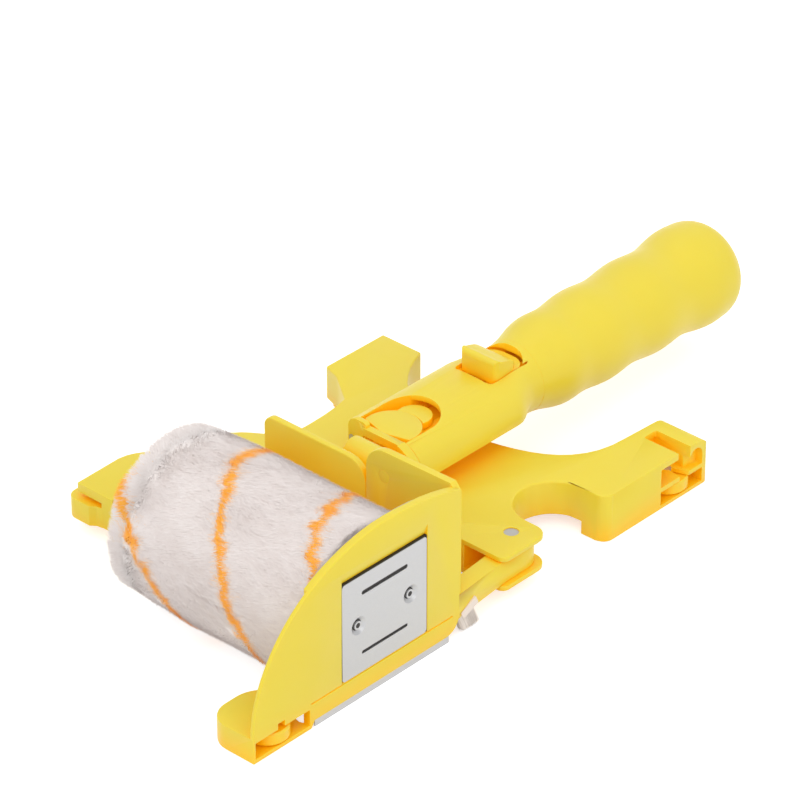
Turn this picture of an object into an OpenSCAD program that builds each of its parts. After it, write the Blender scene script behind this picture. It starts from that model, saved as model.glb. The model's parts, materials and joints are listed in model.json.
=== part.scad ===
// Roller paint edger: a short paint roller in a guard head, hinged to a wheeled base frame, with a
// handle that tilts on the frame and swivels on an index disc.
// X runs along the handle and Z up from the surface being painted. Y runs away from the adjoining
// surface, which the guard slides along and the guide wheels roll on, at y = 0 before the last shift.
// The origin is under the middle of the whole tool, on the painted surface.

/* [Roller] */
// Diameter over the pile
sleeve_d = 60.4; // [56:0.2:62]
// Length of the sleeve
sleeve_length = 79; // [72:0.5:80]
// Outer diameter of the sleeve's tube
core_d = 38; // [34:0.5:42]
// Wall of the sleeve's tube
core_wall = 1.6; // [1.2:0.1:2.4]
// Rounding of the pile at the sleeve's ends
pile_round = 6; // [4:0.5:8]
// Diameter of the axle
axle_d = 6; // [5:0.1:8]
// Distance from the guard's nose to the axle
roller_x = 52.3; // [50:0.1:54]

/* [Guard] */
// Length of the guard plate
guard_length = 93; // [92:0.5:94]
// Height of the guard plate
guard_height = 60; // [58:0.5:66]
// Wall of the guard plate
guard_wall = 2.8; // [2.4:0.1:3.2]
// Length of the rounded nose
nose_length = 61; // [50:0.5:70]
// Fall of the top edge behind the nose
rear_drop = 4.8; // [2:0.1:6]
// Gap under the guard plate's lower band
band_lift = 2.4; // [1.5:0.1:3.5]
// Height of the foot in front
foot_height = 8.8; // [8.4:0.1:9.2]
// Length of the foot
foot_length = 25.5; // [24:0.5:28]
// Depth of the foot
foot_depth = 20.5; // [20:0.1:22]
// Thickness of the edge sheet
sheet_t = 0.5; // [0.3:0.1:0.8]

/* [Clamp plate] */
// Width of the steel clamp plate
plate_w = 38.3; // [36:0.1:40]
// Height of the steel clamp plate
plate_h = 35.9; // [34:0.1:38]
// Thickness of the steel clamp plate
plate_t = 1.2; // [0.8:0.1:1.4]
// Length of its two long slots
plate_slot = 20.8; // [16:0.1:24]
// Diameter of the clamp screws
clamp_screw_d = 3; // [2.5:0.1:3.5]

/* [Uprights] */
// Wall of the guard's rear flange
flange_wall = 2.6; // [2:0.1:2.8]
// Reach of the flange behind the roller
flange_reach = 38.4; // [38:0.1:40]
// Height of the flange
flange_height = 56.4; // [54:0.1:58]
// Height of the roller bracket
bracket_height = 48; // [46:0.5:50]
// Wall of the roller bracket
bracket_wall = 2.4; // [2:0.1:2.6]
// Diameter of the bracket's round end plate
end_plate_d = 50; // [46:0.5:54]

/* [Base frame] */
// Height of the frame's top
frame_top = 17.6; // [17.2:0.1:18]
// Height of the frame's lower edge
frame_lift = 4.8; // [4.6:0.1:5.4]
// Wall of the frame
frame_wall = 2.4; // [2:0.1:2.8]
// Length of the right arm's end from the guard's nose
right_arm_end = 216.5; // [214:0.5:222]
// Width of the right arm
right_arm_w = 18.3; // [18:0.1:20]
// Far side of the frame
frame_depth = 136.6; // [136:0.1:138]
// Near end of the left arm
left_arm_end = 53.5; // [52:0.1:55]

/* [Guide wheels] */
// Diameter of a guide wheel
wheel_d = 14.4; // [14:0.1:14.8]
// Width of a guide wheel
wheel_w = 4.4; // [3.8:0.1:4.6]
// Diameter of a wheel pin
wheel_pin_d = 3; // [2.5:0.1:3.5]
// How far a wheel stands proud of its face
wheel_proud = 0.4; // [0.2:0.1:0.8]

/* [Head hinge] */
// Distance of the head hinge from the guard's nose
hinge_x = 129; // [128.5:0.1:129.5]
// Distance of the head hinge from the adjoining surface
hinge_y = 10; // [9.8:0.1:10.4]
// Diameter of the head hinge pin
head_pin_d = 5; // [4:0.1:6]
// Diameter of the head hinge knuckle
head_knuckle_d = 14.8; // [14:0.1:15.2]

/* [Tilt hinge] */
// Distance of the tilt hinge from the guard's nose
tilt_x = 109.8; // [109.4:0.1:110]
// Height of the tilt hinge
tilt_z = 35.2; // [35:0.1:35.6]
// Diameter of the tilt hinge's knuckles
knuckle_d = 10.4; // [10:0.1:10.6]
// Diameter of the tilt pin
tilt_pin_d = 4; // [3:0.1:5]
// Length of the frame's knuckle
lug_length = 10.8; // [10:0.1:11.2]

/* [Swivel] */
// Distance of the swivel from the guard's nose
swivel_x = 128.6; // [128.2:0.1:129]
// Distance of the swivel from the adjoining surface
swivel_y = 61.5; // [61:0.1:62]
// Diameter of the swivel hub
hub_d = 14; // [13:0.1:14.4]
// Diameter of the index disc
disc_d = 20; // [19.4:0.1:20.4]
// Thickness of the index disc
disc_t = 3; // [2.6:0.1:3.2]
// Swivel to each side, between the outer notches and the middle one
swivel_step = 15; // [12:1:15]

/* [Handle] */
// Width of the handle's front
handle_w = 36.8; // [36:0.1:37.2]
// Height of the handle's underside
handle_bottom = 24.4; // [24.2:0.1:24.8]
// Height of the handle's top
handle_top = 37.6; // [37.4:0.1:38.4]
// Distance of the handle's end from the guard's nose
handle_end = 290.5; // [286:0.5:310]
// Mean diameter of the grip
grip_d = 32.4; // [30:0.1:33]
// Depth of the grip's waves
grip_wave = 0.5; // [0.2:0.1:0.8]
// Pitch of the grip's waves
grip_pitch = 25.5; // [20:0.5:30]
// Diameter of the bulb at the grip's end
bulb_d = 36.6; // [36:0.1:38]
// Bore of the pole socket
pole_d = 19; // [16:0.5:20]
// Depth of the pole socket
pole_depth = 38; // [30:0.5:45]

/* [Thumb slide] */
// Length of the thumb slide
thumb_length = 16.2; // [15.4:0.1:16.4]
// Width of the thumb slide
thumb_w = 15.6; // [14:0.1:16]
// Travel of the thumb slide
thumb_travel = 3.2; // [2.5:0.1:3.4]

/* [Clearances] */
// Radial play of a wheel on its pin and of a hinge on its pin
pin_play = 0.05; // [0.02:0.01:0.1]
// Gap beside a moving piece
side_gap = 0.4; // [0.3:0.05:0.5]

/* [Hidden] */
$fn = 64;

yellow = [0.93, 0.84, 0.33];
steel = [0.76, 0.76, 0.78];
white = [0.90, 0.88, 0.87];

hair = 0.01;                       // overlap that lets two shapes of one piece join
deep = 100;                        // longer than any cut
mid_x = handle_end / 2;            // middle of the tool along x
mid_y = frame_depth / 2;             // middle of the frame along y
axle_z = sleeve_d / 2;
wheel_r = wheel_d / 2;
wheel_in = wheel_r - wheel_proud;  // wheel centre behind the face it rolls out of

// Moves a piece from the guard's nose to the tool's own origin
module place() {
    translate([-mid_x, -mid_y, 0]) children();
}

// Points along an arc, from angle a to angle b
function arc(x, y, r, a, b, n = 12) =
    [for (i = [0:n]) let (t = a + (b - a) * i / n) [x + r * cos(t), y + r * sin(t)]];

// Points along a cubic curve
function curve(p, q, r, s, n = 12) =
    [for (i = [0:n]) let (t = i / n, u = 1 - t)
        u * u * u * p + 3 * u * u * t * q + 3 * u * t * t * r + t * t * t * s];

// An x-z outline made into a slab from y0 to y1
module slab_y(y0, y1) {
    translate([0, y1, 0]) rotate([90, 0, 0]) linear_extrude(y1 - y0) children();
}

// A y-z outline made into a slab from x0 to x1
module slab_x(x0, x1) {
    translate([x0, 0, 0]) rotate([90, 0, 90]) linear_extrude(x1 - x0) children();
}

// An x-y outline made into a slab from z0 to z1
module slab_z(z0, z1) {
    translate([0, 0, z0]) linear_extrude(z1 - z0) children();
}

// A rectangle from one corner to the other
module rect(x0, y0, x1, y1) {
    translate([x0, y0]) square([x1 - x0, y1 - y0]);
}

// A box from one corner to the other
module block(a, b) {
    translate(a) cube(b - a);
}

// A round bar along y
module bar_y(x, z, d, y0, y1) {
    translate([x, y1, z]) rotate([90, 0, 0]) cylinder(d = d, h = y1 - y0);
}

// A round bar along x
module bar_x(y, z, d, x0, x1) {
    translate([x0, y, z]) rotate([0, 90, 0]) cylinder(d = d, h = x1 - x0);
}

// A round bar along z
module bar_z(x, y, d, z0, z1) {
    translate([x, y, z0]) cylinder(d = d, h = z1 - z0);
}

// ---- base frame ----

tab_x0 = hinge_x - 14;
tab_x1 = hinge_x + 8;
tab_y0 = 0.8;
notch_r = 13.3;
notch_x = tab_x1 + notch_r;
notch_y = 10.5;
right_block_x = notch_x + notch_r;
front_x = guard_length + 6.5;      // frame's front edge behind the uprights
waist_x = 163;
waist_y = 62;
back_x0 = 162.9;
back_x1 = 191.3;
back_y0 = frame_depth - 31;
back_y1 = frame_depth - 13.4;
left_y0 = frame_depth - 19.6;
left_y1 = frame_depth - 3.7;

function frame_outline() = concat(
    arc(tab_x0 + 3, tab_y0 + 3, 3, 180, 270, 6),
    arc(tab_x1 - 5, tab_y0 + 5, 5, 270, 360, 6),
    arc(notch_x, notch_y, notch_r, 180, 0, 24),
    arc(right_block_x + 4, 4, 4, 180, 270, 6),
    arc(right_arm_end - 2, 2, 2, 270, 360, 4),
    arc(right_arm_end - 3, right_arm_w - 3, 3, 0, 90, 4),
    curve([196, right_arm_w + 1], [172, right_arm_w + 1], [166, 40], [waist_x, waist_y]),
    curve([waist_x, waist_y + 2], [161, back_y0 - 23.6], [170, back_y0 - 6.6], [back_x1, back_y0]),
    [[back_x1, back_y1], [back_x0, back_y1], [back_x0 - 2.4, back_y1 - 7]],
    curve([152, back_y1 - 18.7], [144, back_y1 - 21], [136, back_y1 - 21.2], [127, back_y1 - 20.8], 6),
    curve([123, back_y1 - 19.2], [116, back_y1 - 14.2], [117, back_y1 - 5.7], [104, back_y1 - 2.2], 8),
    curve([92, left_y1 - 8.9], [84, left_y1 - 4.3], [82, left_y1], [74.8, left_y1 + 0.6], 6),
    [[left_arm_end + 2, left_y1], [left_arm_end + 2, left_y0]],
    curve([74, left_y0 - 1.5], [90, left_y0 - 3], [front_x + 2, left_y0 - 13], [front_x, left_y0 - 29], 10),
    [[front_x, 26]],
    curve([front_x, 26], [front_x, 21], [104, 20.5], [tab_x0, 20.5], 6)
);

module frame_shape() {
    polygon(frame_outline());
}

lug_y1 = swivel_y;
lug_y0 = lug_y1 - lug_length;
fork_t = 1.8;                       // plates of the head hinge's fork
fork_z0 = frame_lift + fork_t;
fork_z1 = frame_top - fork_t;
right_wheel_x = right_arm_end - 13.3;
left_wheel_x = left_arm_end + 11;
left_wheel_y = frame_depth - wheel_in;
floor_t = 1.4;                      // floor under a wheel
wheel_z = floor_t + side_gap;       // underside of a low wheel
left_floor_z = frame_lift;
left_wheel_z = left_floor_z + floor_t + side_gap;
shelf_z = wheel_z + wheel_w + side_gap;
shelf_t = 1.6;
rib_t = 2;
rib_x = [front_x + 22, front_x + 48];
end_round = 5.4;
channel_end = right_arm_end - 9.6;
right_pocket_x = right_arm_end - 24.4;

module frame_ribs() {
    intersection() {
        slab_z(frame_lift, frame_top - frame_wall + hair) frame_shape();
        union() {
            for (y = [waist_y - 28, back_y0 - 17.6])
                block([0, y, frame_lift], [right_arm_end, y + rib_t, frame_top]);
            for (x = rib_x)
                block([x, 0, frame_lift], [x + rib_t, frame_depth, frame_top]);
        }
    }
}

module base_frame() place() color(yellow) {
    difference() {
        union() {
            // inverted tray
            difference() {
                slab_z(frame_lift, frame_top) frame_shape();
                slab_z(frame_lift - 1, frame_top - frame_wall)
                    offset(delta = -frame_wall) frame_shape();
            }
            frame_ribs();
            // solid tab behind the head hinge
            slab_z(frame_lift, frame_top) intersection() {
                frame_shape();
                rect(tab_x0, 0, tab_x1 + 3, 22);
            }
            // right arm block, standing on the painted surface
            slab_z(frame_lift, frame_top) intersection() {
                frame_shape();
                rect(right_block_x, 0, right_arm_end + 1, right_arm_w + 1);
            }
            slab_z(0, frame_lift + hair) intersection() {
                frame_shape();
                union() {
                    rect(right_block_x, 0, right_arm_end + 1, notch_y - 0.6);
                    rect(right_wheel_x - wheel_r - 3, 0, right_arm_end + 1, right_arm_w + 1);
                }
            }
            // back arm block
            slab_z(0, frame_top) intersection() {
                frame_shape();
                rect(back_x0 + 3, back_y0 + 1, back_x1 + 1, back_y1 + 1);
            }
            // left arm's lower prong
            slab_z(left_floor_z, left_floor_z + 7.6) polygon(concat(
                arc(left_arm_end + 4, frame_depth - 4, 4, 90, 180, 8),
                [[left_arm_end, left_y0 + 9]],
                arc(left_arm_end + 8, left_y0 + 7, 6.5, 180, 270, 6),
                [[left_arm_end + 22, left_y0], [left_arm_end + 22, frame_depth]]
            ));
            // knuckle of the tilt hinge
            bar_y(tilt_x, tilt_z, knuckle_d, lug_y0, lug_y1);
            block([tilt_x - knuckle_d / 2, lug_y0, frame_top - hair],
                  [tilt_x + knuckle_d / 2, lug_y1, tilt_z]);
        }
        // slot of the head hinge's fork
        slab_z(fork_z0, fork_z1) {
            translate([hinge_x, hinge_y]) circle(d = head_knuckle_d + 2 * side_gap);
            rect(tab_x0 - 20, -1, hinge_x, hinge_y + head_knuckle_d / 2 + side_gap);
            rect(hinge_x - 1, -1, tab_x1 + 3, hinge_y);
        }
        bar_z(hinge_x, hinge_y, head_pin_d, frame_lift - 1, frame_top + 1);
        // right wheel's pocket, with the channel above it
        slab_z(floor_t, shelf_z)
            rect(right_pocket_x, -1, right_arm_end - 3.2, wheel_in + wheel_r + 0.8);
        slab_z(shelf_z + shelf_t, frame_top - frame_wall)
            rect(right_pocket_x, -1, channel_end, right_arm_w - 2.6);
        slab_y(-1, 3) {
            rect(channel_end - 1, shelf_z + shelf_t, right_arm_end - 3.2, frame_top - 5.6);
            translate([channel_end + 3.1, frame_top - 5.6]) circle(r = 3.3);
        }
        slab_z(shelf_z + shelf_t, frame_top + 1) offset(r = 1, $fn = 24)
            rect(right_arm_end - 14.8, -2, channel_end - 1, right_arm_w - 4.4);
        // rounded top edge of the right arm's end
        slab_y(-1, right_arm_w + 2) difference() {
            rect(right_arm_end - end_round, frame_top - end_round, right_arm_end + 1, frame_top + 1);
            translate([right_arm_end - end_round, frame_top - end_round]) circle(r = end_round);
        }
        // slot that the wheel's pin is pushed in through
        slab_z(shelf_z - 1, shelf_z + shelf_t + 1) polygon([
            [right_wheel_x - 1.6, -1], [right_wheel_x + 3.6, -1], [right_wheel_x + 1.1, wheel_in - 1.4],
            [right_wheel_x - 0.6, wheel_in - 1.4]]);
        bar_z(right_wheel_x, wheel_in, wheel_pin_d, -1, shelf_z + shelf_t + 1);
        // left wheel's pocket
        slab_z(left_floor_z + floor_t, left_wheel_z + wheel_w + side_gap)
            rect(left_wheel_x - wheel_r - 0.8, left_wheel_y - wheel_r - 0.8,
                 left_wheel_x + wheel_r + 0.8, frame_depth + 1);
        slab_z(left_floor_z + 7.6, frame_top - 3.4)
            rect(left_arm_end - 2, left_y0 + 5, left_arm_end + 21, frame_depth + 1);
        bar_z(left_wheel_x, left_wheel_y, wheel_pin_d, left_floor_z - 1, left_floor_z + 8);
        bar_y(tilt_x, tilt_z, tilt_pin_d, lug_y0 - 1, lug_y1 - 1.6);
        // recess under the tilt block's screw head
        bar_z(swivel_x, swivel_y, 8, frame_top - 0.6, frame_top + 1);
    }
}

module wheel(x, y, z) {
    translate([x, y, z]) difference() {
        rotate_extrude() polygon([
            [0, 0], [wheel_r - 0.5, 0], [wheel_r, 0.5], [wheel_r, wheel_w - 0.5],
            [wheel_r - 0.5, wheel_w], [0, wheel_w]
        ]);
        translate([0, 0, -1]) cylinder(d = wheel_pin_d + 2 * pin_play, h = wheel_w + 2);
    }
}

module right_wheel() place() color(yellow) wheel(right_wheel_x, wheel_in, wheel_z);

module left_wheel() place() color(yellow) wheel(left_wheel_x, left_wheel_y, left_wheel_z);

module foot_wheel() place() color(yellow) wheel(foot_wheel_x, wheel_in, wheel_z);

module right_wheel_pin() place() color(steel)
    bar_z(right_wheel_x, wheel_in, wheel_pin_d, 0.2, shelf_z + shelf_t);

module left_wheel_pin() place() color(steel)
    bar_z(left_wheel_x, left_wheel_y, wheel_pin_d, left_floor_z + 0.2, left_floor_z + 7.6);

module foot_wheel_pin() place() color(steel)
    bar_z(foot_wheel_x, wheel_in, wheel_pin_d, 0.2, foot_height - 0.4);

module head_hinge_pin() place() color(steel)
    bar_z(hinge_x, hinge_y, head_pin_d, frame_lift, frame_top - 0.4);

// ---- guard head ----

foot_roof_t = 1.5;
lip_t = 1.5;
lip_w = 3;
foot_wheel_x = foot_length / 2;
flange_x1 = guard_length + 1.2;
flange_x0 = flange_x1 - flange_wall;
plate_x = 39.5;
plate_z = 9.3;
plate_gap = 0.3;
recess_t = plate_t + 0.1;
clamp_x = [plate_x + 7.4, plate_x + plate_w - 7.3];
clamp_z = plate_z + plate_h / 2;
rivet_y = flange_reach - 7.6;
rivet_z = flange_height - 9.4;
rivet_d = 4.6;
axle_in = axle_d + 2 * pin_play;

// Height of the guard's top edge over its length
function dome_z(x) = x < nose_length
    ? foot_height + (guard_height - foot_height) * sqrt(1 - pow(1 - x / nose_length, 2))
    : guard_height - rear_drop * pow((x - nose_length) / (guard_length - nose_length), 2);

function nose_points(n = 20) =
    [for (i = [0:n]) let (x = nose_length * (1 - cos(90 * i / n))) [x, dome_z(x)]];

function rear_points(n = 6) =
    [for (i = [1:n]) let (x = nose_length + (guard_length - nose_length) * i / n) [x, dome_z(x)]];

module guard_shape() {
    polygon(concat(
        [[0, 0]], nose_points(), rear_points(),
        arc(guard_length - 6, band_lift + 6, 6, 0, -90, 6),
        [[foot_length + 1.5, band_lift], [foot_length, 0]]
    ));
}

module foot_shape() {
    polygon(concat([[0, 0]], arc(8.5, foot_depth - 8.5, 8.5, 180, 92, 8),
        arc(foot_wheel_x, foot_depth - 12.2, 12.2, 90, -20, 12), [[foot_length, 0]]));
}

module hinge_arm_shape() {
    polygon([[guard_length - 4, guard_wall - hair], [guard_length - 4, 0.2], [guard_length, 0.2],
             [hinge_x - 10, hinge_y - head_knuckle_d / 2], [hinge_x, hinge_y - head_knuckle_d / 2],
             [hinge_x, hinge_y], [hinge_x - 12, hinge_y - 1], [guard_length, guard_wall + 4]]);
}

module guard() place() color(yellow) {
    difference() {
        union() {
            slab_y(0, guard_wall) guard_shape();
            slab_z(0, foot_height) foot_shape();
            // rear flange
            slab_x(flange_x0, flange_x1) polygon(concat(
                [[0.4, band_lift + 4]],
                [[0.4, dome_z(guard_length) - 1.2], [2.8, flange_height + 0.4]],
                arc(flange_reach - 8, flange_height - 8, 8, 90, 0, 8),
                [[flange_reach, band_lift + 8], [flange_reach - 4, band_lift + 4]]
            ));
            // arm and knuckle of the head hinge
            slab_z(fork_z0 + 0.3, fork_z1 - 0.3) {
                hinge_arm_shape();
                translate([hinge_x, hinge_y]) circle(d = head_knuckle_d);
            }
        }
        // recess of the clamp plate, and the ramp above it
        slab_y(-1, recess_t)
            rect(plate_x - plate_gap, plate_z, plate_x + plate_w + plate_gap,
                 plate_z + plate_h + plate_gap);
        slab_x(plate_x - plate_gap, plate_x + plate_w + plate_gap) polygon([
            [-1, plate_z + plate_h], [recess_t, plate_z + plate_h],
            [recess_t, plate_z + plate_h + plate_gap], [0, plate_z + plate_h + 4.4],
            [-1, plate_z + plate_h + 4.4]
        ]);
        // line over the lower band
        block([foot_length, -1, plate_z - 0.5], [guard_length - 3, 0.5, plate_z]);
        // holes of the clamp screws
        for (x = clamp_x) bar_y(x, clamp_z, clamp_screw_d, -1, guard_wall + 1);
        // pocket of the foot wheel
        slab_z(floor_t, foot_height - foot_roof_t) offset(r = 4, $fn = 32)
            rect(5, -5, foot_length - 4.7, wheel_in + wheel_r - 3.2);
        bar_z(foot_wheel_x, wheel_in, wheel_pin_d, -1, foot_height - 0.4);
        // slot that the wheel's pin is pushed in through
        block([foot_wheel_x - 1.9, -1, wheel_z + wheel_w],
              [foot_wheel_x + 1.1, wheel_in - 2.2, foot_height - 0.4]);
        block([foot_wheel_x - 1.9, -1, wheel_z + wheel_w],
              [foot_wheel_x + 1.1, lip_t - 0.2, foot_height + 0.6]);
        // the wall thins to a lip round the nose
        slab_y(lip_t, guard_wall + 1) difference() {
            rect(-1, foot_height, foot_length, guard_height);
            offset(delta = -lip_w) guard_shape();
        }
        bar_z(hinge_x, hinge_y, head_pin_d + 2 * pin_play, 0, frame_top + 1);
        bar_x(rivet_y, rivet_z, rivet_d, flange_x0 - 1, flange_x1 + 1);
        bar_y(roller_x, axle_z, axle_d, guard_wall - 1.2, guard_wall + 3);
        // seat of the brush's clip
        brush_frame() block([-0.6, -0.4, -deep], [brush_w + 0.6, brush_t + 0.4, 1]);
    }
}

module edge_sheet() place() color(steel)
    difference() {
        union() {
            intersection() {
                slab_y(guard_wall, guard_wall + sheet_t) translate([0.6, -0.6]) guard_shape();
                block([foot_length + 1, 0, band_lift], [guard_length - 4, foot_depth, guard_height]);
            }
            block([foot_length + 1.5, guard_wall, 0], [guard_length - 4.5, guard_wall + sheet_t, band_lift + 1]);
        }
        bar_y(roller_x, axle_z, axle_d + 1, 0, guard_wall + 2);
        for (x = clamp_x) bar_y(x, clamp_z, clamp_screw_d, 0, guard_wall + 2);
    }

module slot_shape(x0, x1, z, w) {
    translate([x0 + w / 2, z]) circle(d = w, $fn = 24);
    translate([x1 - w / 2, z]) circle(d = w, $fn = 24);
    rect(x0 + w / 2, z - w / 2, x1 - w / 2, z + w / 2);
}

module clamp_plate() place() color(steel)
    difference() {
        slab_y(recess_t - plate_t, recess_t) difference() {
            offset(r = 1.2, $fn = 32) rect(plate_x + 1.2, plate_z + 1.4,
                plate_x + plate_w - 1.2, plate_z + plate_h - 1.2);
            slot_shape(plate_x + 8.8, plate_x + 8.8 + plate_slot, plate_z + plate_h - 6.6, 1.5);
            slot_shape(plate_x + 8.8, plate_x + 8.8 + plate_slot, plate_z + 7.3, 1.2);
        }
        for (x = clamp_x) {
            bar_y(x, clamp_z, clamp_screw_d, -1, guard_wall);
            translate([x, -hair, clamp_z]) rotate([-90, 0, 0])
                cylinder(d1 = clamp_screw_d + 2, d2 = clamp_screw_d, h = 0.9);
        }
    }

module clamp_screws() place() color(steel)
    for (x = clamp_x) difference() {
        bar_y(x, clamp_z, clamp_screw_d, recess_t - 0.9, guard_wall + sheet_t);
        bar_y(x, clamp_z, 1.2, recess_t - 2, recess_t - 0.2);
    }

brush_lean = 24;
brush_w = 6.4;
brush_t = 1.8;
brush_x = guard_length + 2.2;
clip_z = 7.2;

module brush_frame() {
    translate([brush_x, 0.6, clip_z]) rotate([0, -brush_lean, 0]) children();
}

module brush_clip() place() color(white)
    brush_frame() difference() {
        block([-0.6, -0.4, -2], [brush_w + 0.6, brush_t + 0.4, 1]);
        block([0, 0, -3], [brush_w, brush_t, 0]);
    }

module corner_brush() place() color(white)
    intersection() {
        brush_frame() block([0, 0, -8], [brush_w, brush_t, 0]);
        block([0, -5, 0], [deep * 2, 10, clip_z + 4]);
    }

cap_flange = 1.2;                   // flange of a sleeve's end cap
sleeve_y0 = guard_wall + sheet_t + 0.6 + cap_flange;
sleeve_y1 = sleeve_y0 + sleeve_length;
bracket_x0 = flange_x1 - bracket_wall;
back_plate_y1 = sleeve_y1 - 0.8;
link_z = axle_z + 1;
end_plate_y0 = sleeve_y1 + cap_flange + 0.4;
end_plate_y1 = end_plate_y0 + bracket_wall;

module roller_bracket() place() color(yellow)
    difference() {
        union() {
            // back plate behind the roller
            slab_x(bracket_x0, flange_x1) polygon(concat(
                arc(flange_reach + 8.4, bracket_height - 8, 8, 180, 90, 6),
                arc(back_plate_y1 - 4, bracket_height - 4, 4, 90, 0, 6),
                [[back_plate_y1, link_z], [end_plate_y1, link_z],
                 [end_plate_y1, band_lift + 10], [flange_reach + 0.4, band_lift + 10]]
            ));
            // lap behind the flange
            slab_x(flange_x1, flange_x1 + bracket_wall) polygon(concat(
                arc(rivet_y, rivet_z, 6.5, 90, 180, 6),
                [[rivet_y - 6.5, band_lift + 14], [flange_reach + 8, band_lift + 14],
                 [flange_reach + 8, bracket_height - 8]]
            ));
            // round end plate that carries the axle
            slab_y(end_plate_y0, end_plate_y1) {
                translate([roller_x, axle_z]) circle(d = end_plate_d, $fn = 96);
                rect(roller_x, band_lift + 10, flange_x1, link_z);
            }
        }
        bar_x(rivet_y, rivet_z, rivet_d, flange_x0 - 1, flange_x1 + bracket_wall + 1);
        bar_y(roller_x, axle_z, axle_d, end_plate_y0 - 1, end_plate_y1 + 1);
    }

module bracket_rivet() place() color(steel) {
    bar_x(rivet_y, rivet_z, rivet_d, flange_x0, flange_x1 + bracket_wall);
}

module roller_axle() place() color(steel)
    bar_y(roller_x, axle_z, axle_d, guard_wall - 1.2, end_plate_y1);

// ---- roller ----

cap_t = 5;
cap_hub = 12;
cap_hub_wall = 2.5;

module roller_sleeve() place() color(white)
    translate([roller_x, sleeve_y0, axle_z]) rotate([-90, 0, 0]) rotate_extrude($fn = 96)
        polygon(concat(
            [[core_d / 2, 0]],
            arc(sleeve_d / 2 - pile_round, pile_round, pile_round, -80, 0, 8),
            arc(sleeve_d / 2 - pile_round, sleeve_length - pile_round, pile_round, 0, 80, 8),
            [[core_d / 2, sleeve_length]]
        ));

module roller_core() place() color(white)
    difference() {
        bar_y(roller_x, axle_z, core_d, sleeve_y0, sleeve_y1);
        bar_y(roller_x, axle_z, core_d - 2 * core_wall, sleeve_y0 - 1, sleeve_y1 + 1);
    }

// Cap pressed into one end of the tube, with its flange outside
module end_cap(y, side) {
    difference() {
        union() {
            bar_y(roller_x, axle_z, core_d, min(y, y - side * cap_flange), max(y, y - side * cap_flange));
            difference() {
                bar_y(roller_x, axle_z, core_d - 2 * core_wall, min(y, y + side * cap_t),
                      max(y, y + side * cap_t));
                bar_y(roller_x, axle_z, core_d - 2 * core_wall - 4,
                      min(y + side * 1.4, y + side * (cap_t + 1)),
                      max(y + side * 1.4, y + side * (cap_t + 1)));
            }
            bar_y(roller_x, axle_z, axle_d + 2 * cap_hub_wall, min(y, y + side * cap_hub), max(y, y + side * cap_hub));
        }
        bar_y(roller_x, axle_z, axle_in, y - 2 * cap_hub, y + 2 * cap_hub);
    }
}

module guard_end_cap() place() color(yellow) end_cap(sleeve_y0, 1);

module bracket_end_cap() place() color(yellow) end_cap(sleeve_y1, -1);

// ---- tilt block and index disc ----

arm_length = 17.3;                  // from the handle's middle to the knuckle's near end
arm_y0 = swivel_y - arm_length;
arm_y1 = lug_y0 - 0.3;
tongue_z1 = handle_bottom - 0.3;
tongue_t = 4.6;
tongue_z0 = tongue_z1 - tongue_t;
ring_z0 = handle_bottom;
disc_sunk = 5.1;                    // underside of the disc below the handle's top
disc_z0 = handle_top - disc_sunk;
ring_z1 = disc_z0 - 0.2;
disc_z1 = disc_z0 + disc_t;
disc_screw_d = 3;

module tilt_block() place() color(yellow)
    difference() {
        union() {
            bar_y(tilt_x, tilt_z, knuckle_d, arm_y0, arm_y1);
            block([tilt_x - knuckle_d / 2, arm_y0, tongue_z0 + 2],
                  [tilt_x + knuckle_d / 2, arm_y1, tilt_z]);
            slab_z(tongue_z0, tongue_z1) {
                rect(tilt_x - knuckle_d / 2 + 2, arm_y0, swivel_x, arm_y1);
                rect(tilt_x + knuckle_d / 2 + 1, arm_y1 - hair, swivel_x, swivel_y + 10);
                translate([swivel_x, swivel_y]) circle(d = hub_d + 6);
            }
            bar_z(swivel_x, swivel_y, hub_d, tongue_z1 - hair, disc_z0);
        }
        bar_y(tilt_x, tilt_z, tilt_pin_d + 2 * pin_play, arm_y0 - 1, arm_y1 + 1);
        bar_z(swivel_x, swivel_y, disc_screw_d, tongue_z0 - 1, disc_z0 + 1);
        bar_z(swivel_x, swivel_y, 6.4, tongue_z0 - 1, tongue_z0 + 2);
    }

module tilt_pin() place() color(steel)
    bar_y(tilt_x, tilt_z, tilt_pin_d, arm_y0 + 0.2, lug_y1 - 1.8);

bar_x0 = 121;                     // front face of the front cap's bar
cap_x0 = 120.2;                       // front of its right end
cap_screw_yz = [[swivel_y - handle_w / 2 + 3, handle_bottom + 3], [swivel_y + 11.2, handle_top - 8]];
tooth_w = 3.4;
tooth_in = 2.8;
tooth_z1 = disc_z0 + 1.4;
bar_x1 = 123.6;                       // rear face of the front cap's bar

module index_disc() place() color(yellow)
    difference() {
        bar_z(swivel_x, swivel_y, disc_d, disc_z0, disc_z1);
        translate([swivel_x, swivel_y, 0]) {
            // flats that the front cap's bar swings up to
            for (a = [-swivel_step, 0, swivel_step]) rotate(180 + a)
                block([swivel_x - bar_x1 - side_gap, -deep, disc_z0 - 1], [deep, deep, disc_z1 + 1]);
            // notches for the pawl's tooth, in the underside
            for (a = [-swivel_step, 0, swivel_step]) rotate(a)
                block([disc_d / 2 - tooth_in, -tooth_w / 2 - 0.15, disc_z0 - 1],
                      [disc_d, tooth_w / 2 + 0.15, tooth_z1 + 0.3]);
        }
        bar_z(swivel_x, swivel_y, disc_screw_d, disc_z0 - 1, disc_z1 - 1);
    }

module disc_screw() place() color(steel) {
    bar_z(swivel_x, swivel_y, disc_screw_d, tongue_z0 + 1, disc_z1 - 1);
    bar_z(swivel_x, swivel_y, 6, tongue_z0 + 0.1, tongue_z0 + 2);
}

// ---- handle ----

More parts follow.
